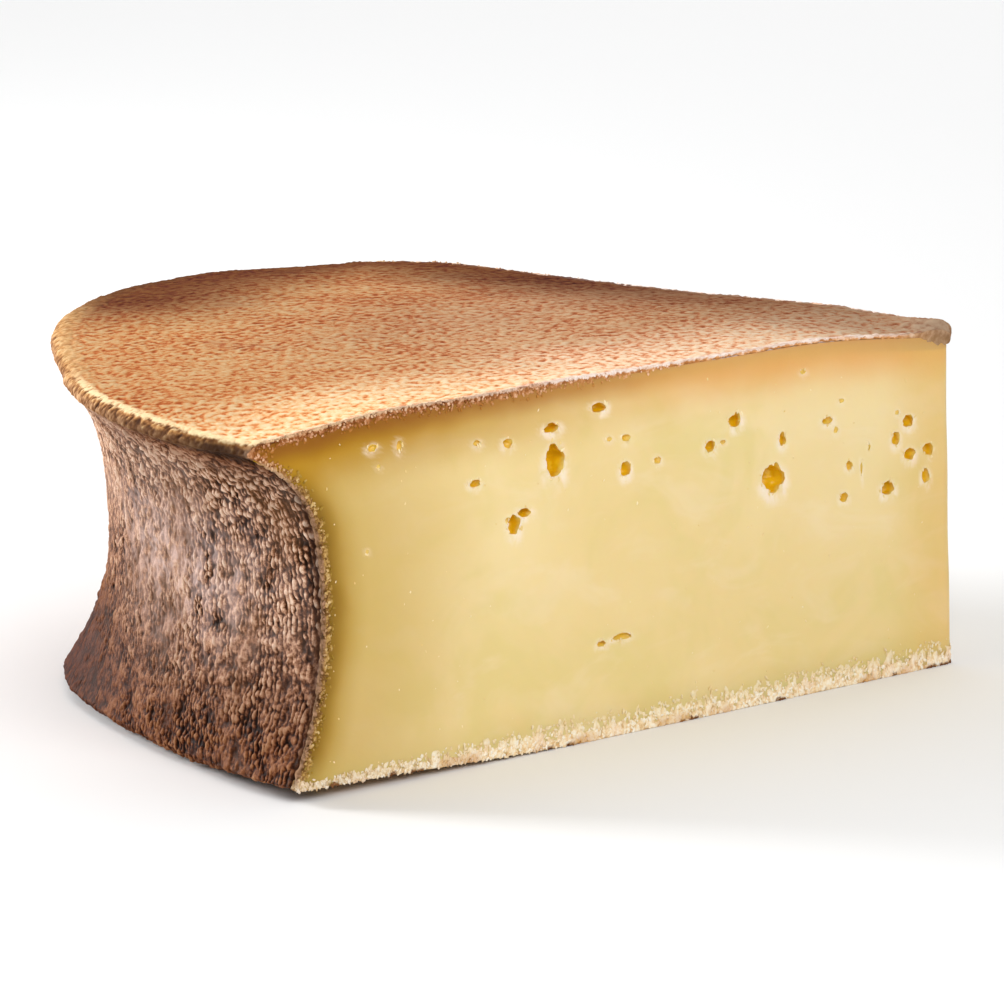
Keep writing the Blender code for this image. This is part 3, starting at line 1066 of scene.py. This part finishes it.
def top_finish():
    made = Finish("washed_top_rind", Roughness=0.85, Specular_IOR_Level=0.08)
    past, turned, from_tip = made.value("past"), made.value("turned"), made.value("from_tip")
    from_front = made.value("from_front")
    fine = made.noise(1.1, 4.0, 0.7, 0.4, made.stretched(1.0, 0.7, 1.0))
    broad = made.noise(26.0, 3.0, 0.6)

    # The mottle of short streaks, warmer towards the heel
    pattern = made.plus(made.times(made.value("worms"), 0.34), made.plus(fine, -0.5))
    pattern = made.plus(pattern, made.step(made.noise(13.0, 2.0, 0.5), 0.3, 0.7, 0.03, 0.15))
    streaks = made.step(pattern, -0.42, 0.42)
    warm = made.ramp(
        streaks,
        (0.0, 168, 96, 36),
        (0.24, 220, 124, 58),
        (0.44, 242, 156, 92),
        (0.63, 254, 204, 144),
        (1.0, 255, 234, 192),
    )
    pink = made.ramp(
        streaks,
        (0.0, 172, 98, 54),
        (0.24, 214, 130, 80),
        (0.44, 238, 166, 122),
        (0.63, 252, 210, 170),
        (1.0, 255, 236, 208),
    )
    outer = made.step(made.plus(from_tip, made.times(broad, 60.0)), 110.0, 205.0)

    # Where it is darker: painted shade away from the -Y cut and over the middle, brown that is partly
    # painted shade along the far edge, and darker towards the tip
    # Painted shade: the top darkens with distance from the -Y cut
    rear = made.stray(from_front, broad, 40.0, 0.5)
    shade = made.mix(streaks, (184, 150, 120), (210, 192, 174))
    # Brown along the +Y cut and the far rim: partly the rind's own colour, partly painted shade
    back = made.step(made.stray(made.value("from_back"), broad, 16.0, 0.5), 4.0, 48.0, 0.95, 0.0)
    back = made.times(back, made.step(from_tip, 30.0, 130.0, 0.55, 1.0))
    rim = made.times(made.step(past, -55.0, -8.0), made.step(turned, -0.3, 0.05, 0.95, 0.0))
    brown = made.mix(streaks, (98, 60, 16), (144, 98, 42))
    # Painted shade over the middle of the top
    middle = made.times(made.step(from_front, 45.0, 85.0), made.step(past, -75.0, -30.0, 1.0, 0.0))
    colour = made.layers(
        made.mix(outer, pink, warm),
        (made.step(made.noise(17.0, 2.0), 0.60, 0.74, 0.0, 0.35), (226, 200, 170)),
        # painted shade away from the -Y cut
        (made.step(rear, 0.0, 48.0), shade, "MULTIPLY"),
        # brown along the far edge, partly painted shade
        (made.math("MAXIMUM", back, rim), brown, "MULTIPLY"),
        # painted shade over the middle
        (middle, (238, 232, 230), "MULTIPLY"),
        (made.step(from_tip, 10.0, 110.0, 0.5, 0.0), (176, 158, 138), "MULTIPLY"),
    )

    # The crumbly rim: a cream line, then gold and brown down to the heel, with painted shade under the lip
    # towards the -Y cut and in its hollow, and brown that is partly painted shade on the far side
    rough = made.plus(made.value("crumble"), made.times(made.plus(fine, -0.5), 1.2))
    past = made.stray(past, rough, -1.1)
    near = made.step(turned, 0.22, 0.42)
    left = made.step(turned, -0.35, -0.1)
    soft, hard = made.step(rough, -0.9, 0.9), made.step(rough, -0.8, 0.9)
    tan = made.ramp(soft, (0.0, 150, 98, 50), (0.5, 206, 156, 98), (1.0, 238, 202, 150))
    # Dark brown on the far side of the rim, towards the +Y cut: partly the rind's own colour, partly painted
    # shade
    tan = made.mix(left, (104, 62, 28), tan)
    cream = made.times(made.step(past, 0.1, 0.9), made.step(rough, -0.6, 0.1, 0.25, 0.95), near)
    gold = made.mix(
        made.step(turned, 0.56, 0.72),
        made.ramp(hard, (0.0, 84, 48, 20), (0.35, 160, 106, 60), (0.70, 206, 152, 94), (1.0, 244, 212, 156)),
        made.ramp(hard, (0.0, 80, 46, 16), (0.35, 138, 90, 46), (0.70, 182, 130, 74), (1.0, 220, 176, 116)),
    )
    low_rim = made.ramp(soft, (0.0, 54, 26, 6), (0.4, 138, 90, 50), (1.0, 224, 176, 132))
    # Painted shade under the lip towards the -Y cut
    low_rim = made.mix(made.step(turned, 0.35, 0.65, 0.0, 0.75), low_rim, (66, 36, 14))
    colour = made.layers(
        colour,
        (made.step(past, -4.5, 0.5, 0.0, 0.75), made.mix(near, tan, colour)),
        (cream, (250, 224, 174)),
        (made.step(past, 1.8, 2.8, 0.0, made.step(turned, 0.0, 0.4, 0.5, 1.0)), gold),
        (made.times(made.step(past, 2.6, 4.0, 0.0, 0.9), left), low_rim),
        # painted shade in the hollow under the lip
        (made.times(made.value("hollow"), 0.95), (54, 30, 10)),
    )

    # Flour along the cut's edge, and painted shade that greys the cap of the tip
    edge = made.times(
        made.step(made.stray(made.value("cut_gap"), rough, -1.0), 0.6, 2.6, 0.9, 0.0),
        made.step(past, -2.0, 1.0, 1.0, 0.2),
        made.step(turned, -0.1, 0.2, 0.15, 1.0),
        made.step(from_tip, 6.0, 24.0),
        made.step(from_tip, 105.0, 140.0, 1.0, 0.35),
    )
    made.colour(made.layers(
        colour,
        (edge, (240, 220, 206)),
        # painted shade greying the cap of the tip
        (made.step(from_tip, 4.0, 14.0, 0.8, 0.0), made.mix(streaks, (128, 98, 74), (178, 150, 124))),
    ))
    made.bump((made.noise(0.7, 3.0), 0.14), (streaks, 0.14))
    return made.material


def heel_finish():
    made = Finish("cloth_marked_rind", Roughness=0.6, Specular_IOR_Level=0.07)
    down, turned, lumps = made.value("down"), made.value("turned"), made.value("lumps")
    fine = made.noise(0.6, 4.0, 0.75)
    broad = made.noise(26.0, 3.0, 0.6)
    stroke = made.plus(made.value("pillow"), made.times(made.value("tone"), 0.5))
    height = made.times(made.plus(stroke, -0.95), made.value("depth"))
    height = made.plus(made.plus(height, made.times(lumps, 0.6)), made.times(made.plus(fine, -0.5), 2.0))
    # Colour by the height of the print: partly its own tone, partly painted shade in the creases and painted
    # highlights on the strokes
    colour = made.ramp(
        made.step(height, -0.8, 0.8),
        (0.0, 30, 12, 2),
        (0.28, 92, 52, 28),
        (0.50, 158, 110, 80),
        (0.72, 212, 167, 135),
        (1.0, 250, 220, 194),
    )
    worn = made.step(made.plus(broad, made.times(fine, 0.2)), 0.54, 0.74)
    lower = made.stray(down, broad, 20.0, 0.5)
    # Painted shade on the lower heel away from the -Y cut
    far = made.times(made.step(turned, 0.1, 0.5, 1.0, 0.0), made.step(lower, 24.0, 58.0))
    near_lip = made.stray(down, lumps, 2.0)
    # Painted shade under the lip, stronger towards the -Y cut
    right = made.step(turned, 0.3, 0.7, 0.35, 0.9)
    under_lip_shade = made.mix(made.step(height, -0.5, 0.9), (44, 24, 10), (128, 88, 58))
    by_cut = made.stray(made.value("cut_gap"), lumps, 1.4)
    made.colour(made.layers(
        colour,
        (made.times(worn, 0.3), (198, 166, 146)),
        # painted sheen, standing in for a soft highlight
        (made.times(made.value("painted_sheen"), 0.7), (234, 206, 198)),
        (made.step(made.noise(15.0, 2.0), 0.5, 0.7, 0.0, 0.35), (146, 98, 58)),
        # painted shade towards the bottom of the heel
        (made.step(lower, 38.0, 72.0, 0.0, 0.95), (166, 130, 96), "MULTIPLY"),
        # painted shade on the lower heel away from the -Y cut
        (far, (170, 130, 86), "MULTIPLY"),
        # painted shade under the lip
        (made.times(made.step(near_lip, 3.0, 16.0, 1.0, 0.0), right), (168, 128, 92), "MULTIPLY"),
        (made.times(made.step(near_lip, 1.5, 6.0, 1.0, 0.0), right), under_lip_shade),
        # painted shade in the hollow under the lip
        (made.times(made.value("hollow"), 0.9), (50, 28, 10)),
        (made.step(by_cut, 1.6, 4.5, 0.7, 0.0), (66, 38, 22)),
    ))
    made.bump((fine, 0.2), (made.noise(2.0, 2.0), 0.15))
    return made.material


def under_finish():
    made = Finish("under_rind", Roughness=0.75)
    fine = made.noise(1.2, 3.0, 0.65)
    made.colour(made.mix(made.step(fine, 0.35, 0.65), (186, 138, 92), (226, 192, 146)))
    made.bump((fine, 0.2))
    return made.material


def edge_finish():
    made = Finish("crumbly_rind", Roughness=0.8, Specular_IOR_Level=0.2)
    from_tip = made.value("from_tip")
    fine = made.noise(0.5, 3.0, 0.7)
    patch = made.noise(5.0, 2.0, 0.5)
    crumbs = made.plus(made.times(made.value("crumble"), 0.45), made.plus(fine, -0.5))
    spread = made.step(crumbs, -0.55, 0.75)
    deep = made.stray(made.value("depth_in"), crumbs, -0.9)

    specks = made.times(made.step(made.noise(2.6, 1.0), 0.56, 0.62), made.step(deep, 0.2, 0.9, 1.0, 0.0))
    ochre = made.times(
        made.step(made.noise(9.0, 2.0), 0.52, 0.64, 0.0, 0.55), made.step(deep, 0.6, 2.4, 1.0, 0.0)
    )
    base = made.layers(
        made.ramp(
            spread, (0.0, 210, 162, 104), (0.35, 242, 214, 168), (0.7, 254, 240, 214), (1.0, 255, 250, 238)
        ),
        (made.step(patch, 0.5, 0.7, 0.0, 0.5), (246, 212, 186)),
        (made.step(deep, 1.2, 5.0, 0.0, 0.5), (226, 202, 136)),
        (specks, (116, 68, 26)),
        (ochre, (206, 148, 72)),
    )

    top_left = made.layers(
        made.ramp(spread, (0.0, 92, 46, 12), (0.4, 140, 80, 34), (0.7, 186, 124, 78), (1.0, 232, 186, 152)),
        (made.step(deep, 1.0, 2.6), (170, 108, 34)),
    )
    top_right = made.layers(
        made.ramp(spread, (0.0, 196, 126, 66), (0.5, 226, 160, 98), (1.0, 250, 210, 172)),
        (made.step(deep, 0.8, 2.2), (226, 168, 96)),
    )
    flour = made.mix(made.step(from_tip, 110.0, 185.0), (246, 228, 216), (250, 222, 178))
    line = made.times(
        made.step(deep, 0.05, 0.6, 1.0, 0.0),
        made.step(patch, 0.35, 0.5, 0.4, 1.0),
        made.step(from_tip, 8.0, 22.0),
        made.step(from_tip, 105.0, 140.0, 1.0, 0.5),
        made.step(from_tip, LIP_RADIUS - 4.0, LIP_RADIUS - 1.0, 1.0, 0.1),
    )
    top = made.layers(
        made.mix(made.step(from_tip, 60.0, 160.0), top_right, top_left),
        # painted shade greying the cap of the tip
        (made.step(from_tip, 3.0, 22.0, 0.9, 0.0), made.mix(spread, (128, 96, 68), (184, 152, 122))),
        (line, flour),
    )

    heel = made.layers(
        made.ramp(spread, (0.0, 60, 34, 14), (0.4, 128, 88, 40), (0.75, 190, 150, 84), (1.0, 228, 200, 146)),
        (made.step(deep, 1.2, 2.8, 0.0, 0.7), (168, 134, 40)),
        (made.step(deep, -0.2, 0.6, 1.0, 0.0), made.mix(spread, (52, 28, 12), (186, 142, 108))),
    )
    made.colour(made.layers(heel, (made.value("on_top"), top), (made.value("on_base"), base)))
    made.bump((fine, 0.22))
    return made.material


def fleck_finish():
    made = Finish("paste_flecks", Roughness=0.5)
    made.colour(made.ramp(made.value("crumble"), (0.0, 234, 202, 126), (1.0, 250, 232, 190)))
    made.bump((made.noise(0.5, 2.0), 0.1))
    return made.material


def soft_paste(name, roughness, depth):
    """A material that lets light a few millimetres in, as paste does."""
    made = Finish(name, Roughness=roughness, Subsurface_Weight=0.25, Subsurface_Scale=depth * MM)
    made.shader.inputs["Subsurface Radius"].default_value = (1.0, 0.55, 0.18)
    return made


def paste_finish():
    made = soft_paste("cut_paste", 0.42, 4.0)
    made.feed(made.shader.inputs["Specular IOR Level"], 0.25)
    broad = made.noise(30.0, 2.0, 0.5)
    smears = made.noise(8.0, 3.0, 0.55, 0.8, made.stretched(0.6, 0.6, 1.3))
    clouds = made.noise(16.0, 3.0, 0.6, 0.6)
    waves = made.noise(9.0, 2.0)
    heel, top, base = (
        made.stray(made.value(name), waves, 3.0, 0.5) for name in ("heel_gap", "top_gap", "base_gap")
    )
    from_tip = made.value("from_tip")
    left = made.step(from_tip, 30.0, 185.0)
    under_top = made.mix(left, (230, 166, 86), (140, 82, 0))
    wide_top = made.mix(left, (234, 186, 112), (178, 130, 6))
    tip_top = made.times(made.step(top, 4.0, 12.0, 0.7, 0.0), made.step(left, 0.1, 0.5, 1.0, 0.0))
    # Pale torn smears round the eyes, which also serve as painted highlights on their lower rims
    torn = made.times(made.value("smear_and_highlight"), made.step(made.noise(2.4, 3.0, 0.6, 0.5), 0.36, 0.62, 0.1, 0.85))
    made.colour(made.layers(
        made.mix(made.step(broad, 0.35, 0.65), (242, 219, 164), (236, 210, 148)),
        (made.step(clouds, 0.45, 0.7, 0.0, 0.6), (226, 206, 134)),
        (made.step(smears, 0.48, 0.75, 0.0, 0.45), (244, 222, 180)),
        (made.step(heel, 8.0, 55.0, 0.75, 0.0), (196, 162, 80)),
        (made.step(heel, 3.0, 13.0, 0.85, 0.0), (170, 130, 24)),
        (made.step(heel, 1.5, 7.5, 0.9, 0.0), (132, 94, 2)),
        (made.step(top, 4.0, 17.0, made.step(left, 0.5, 1.0, 0.5, 1.0), 0.0), wide_top),
        (made.step(top, 2.0, 7.0, 0.92, 0.0), under_top),
        (tip_top, (232, 170, 96)),
        (made.step(base, 3.0, 11.0, 0.4, 0.0), (206, 180, 100)),
        (made.step(from_tip, 3.0, 24.0, 0.5, 0.0), (228, 184, 100)),
        (torn, (252, 234, 214)),
        (made.step(made.value("hole"), 0.15, 1.2), (236, 196, 60)),
    ))
    made.bump((made.noise(3.0, 3.0), 0.10), (smears, 0.15))
    return made.material


def eye_finish():
    made = soft_paste("eye_walls", 0.35, 3.0)
    fine = made.noise(1.0, 2.0)
    colour = made.mix(made.step(made.value("hole"), 0.1, 1.5), (240, 214, 120), (236, 188, 12))
    made.colour(made.mix(made.step(fine, 0.4, 0.7, 0.0, 0.3), colour, (220, 174, 36)))
    made.bump((fine, 0.08))
    return made.material


# Stage

# The camera that the photograph's outline was solved for, from the foot of the wheel's axis
CAMERA_PLACE = (-0.04798, -1.45209, 0.28691)
CAMERA_RIGHT = (0.999266, 0.030990, -0.022515)
CAMERA_UP = (0.016936, 0.169768, 0.985339)
CAMERA_LENS = 240.82
FLOOR_SIZE = 12.0


def build_camera():
    camera = bpy.data.cameras.new("camera")
    camera.sensor_width = 36.0
    camera.lens = CAMERA_LENS
    holder = bpy.data.objects.new("camera", camera)
    right, up = Vector(CAMERA_RIGHT), Vector(CAMERA_UP)
    holder.matrix_world = Matrix.Translation(Vector(AXIS) + Vector(CAMERA_PLACE)) @ Matrix(
        (right, up, right.cross(up))
    ).transposed().to_4x4()
    bpy.context.scene.collection.objects.link(holder)
    bpy.context.scene.camera = holder


def area_light(name, place, target, size, power):
    light = bpy.data.lights.new(name, "AREA")
    light.shape = "RECTANGLE"
    light.size, light.size_y = size
    light.energy = power
    holder = bpy.data.objects.new(name, light)
    holder.location = place
    holder.rotation_euler = (Vector(target) - Vector(place)).to_track_quat("-Z", "Y").to_euler()
    bpy.context.scene.collection.objects.link(holder)


def build_stage():
    bpy.ops.mesh.primitive_plane_add(size=FLOOR_SIZE)
    floor = bpy.context.object
    floor.name = "floor"
    made = Finish("pale_floor", Roughness=0.9)
    made.shader.inputs["Base Color"].default_value = (0.9, 0.9, 0.9, 1.0)
    floor.data.materials.append(made.material)

    world = bpy.data.worlds.new("studio")
    world.use_nodes = True
    background = world.node_tree.nodes["Background"]
    background.inputs["Color"].default_value = (1.0, 1.0, 1.0, 1.0)
    background.inputs["Strength"].default_value = 0.30
    bpy.context.scene.world = world
    bpy.context.scene.view_settings.view_transform = "Standard"

    area_light("overhead", (0.0, 0.5, 2.6), (0.0, 0.5, 0.0), (3.6, 3.0), 20.0)
    area_light("ground", (0.0, 2.0, 1.6), (0.0, 2.1, 0.0), (3.4, 2.0), 28.0)
    area_light("key", (0.28, -0.72, 0.46), (0.0, -0.04, 0.05), (0.5, 0.4), 3.9)
    area_light("heel_side", (-1.0, 0.42, 0.40), (0.0, 0.0, 0.05), (0.45, 0.45), 14.0)


def main():
    build_camera()
    build_stage()
    build_top_rind(top_finish())
    heel, edge, flecks = heel_finish(), edge_finish(), fleck_finish()
    for name, low, high, column_step, row_step in HEEL_PARTS:
        build_heel_part(name, low, high, column_step, row_step, heel)
    build_under_rind(under_finish())
    back_eyes = drawn_eyes()
    for name, side, crumbs, torn in SIDES:
        build_cut_edge(f"cut_edge_{name}", side, edge)
    for name, side, crumbs, torn in SIDES:
        build_edge_crumbs(f"edge_crumbs_{name}", side, crumbs, edge)
    build_paste(back_eyes, paste_finish(), eye_finish())
    for name, side, crumbs, torn in SIDES:
        build_flecks(f"flecks_{name}", side, FRONT_EYES if side > 0 else back_eyes, torn, flecks)


main()
